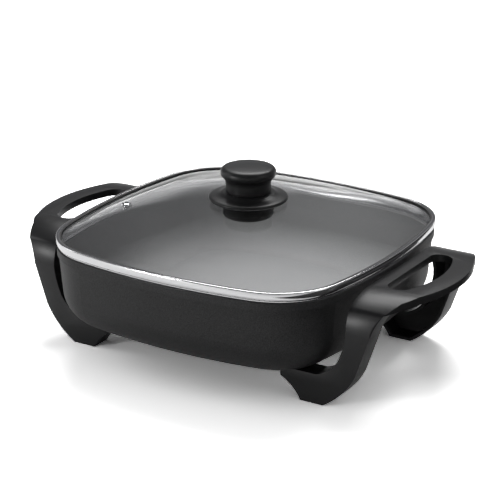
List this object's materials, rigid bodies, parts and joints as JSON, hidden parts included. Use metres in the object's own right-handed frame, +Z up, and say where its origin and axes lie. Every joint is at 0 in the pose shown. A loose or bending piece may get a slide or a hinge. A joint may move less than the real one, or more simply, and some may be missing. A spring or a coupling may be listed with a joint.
{
  "type": "electric skillet",
  "caption": "Square cooking pan with rounded corners on two handle and leg mouldings, with a lift-off glass lid, knob, cast-in heater and probe inlet.",
  "frame": {"origin": "on the surface that the skillet stands on, under the middle of the pan", "axes": "+X towards the right handle, +Y away from the viewer's side, +Z up"},
  "size_m": [0.438, 0.31, 0.1735],
  "materials": {
    "coated_aluminium": "matte black non-stick coating over cast aluminium",
    "element_sheath": "dull steel sheath",
    "nickel": "bright nickel plating",
    "ceramic": "unglazed white ceramic",
    "socket_metal": "plain drawn tube",
    "black_moulding": "satin black heat-resistant moulding",
    "screw_steel": "zinc plated",
    "polished_steel": "polished stainless steel",
    "clear_glass": "clear tempered glass",
    "black_silicone": "black silicone",
    "brass": "turned brass"
  },
  "bodies": {
    "skillet": {"pan_body": "coated_aluminium", "heating_element": "element_sheath", "inlet_pin_back": "nickel", "inlet_pin_front": "nickel", "pin_bush_back": "ceramic", "pin_bush_front": "ceramic", "probe_socket": "socket_metal", "inlet_guard": "black_moulding", "guard_screws": "screw_steel", "handle_right": "black_moulding", "handle_left": "black_moulding", "handle_screws_right": "screw_steel", "handle_screws_left": "screw_steel", "handle_washers_right": "screw_steel", "handle_washers_left": "screw_steel"},
    "lid": {"lid_glass": "clear_glass", "lid_steel_rim": "polished_steel", "lid_rim_gasket": "black_silicone", "vent_eyelet": "polished_steel", "knob_guard": "black_moulding", "knob_grip": "black_moulding", "knob_insert": "brass", "knob_washer_upper": "black_silicone", "knob_washer_lower": "black_silicone", "knob_collar": "black_moulding", "knob_screw": "screw_steel"}
  },
  "joints": [
    {"name": "lid_lift", "type": "slide", "parent": "skillet", "child": "lid", "axis": [0, 0, 1], "range_m": [0, 0.12]}
  ]
}
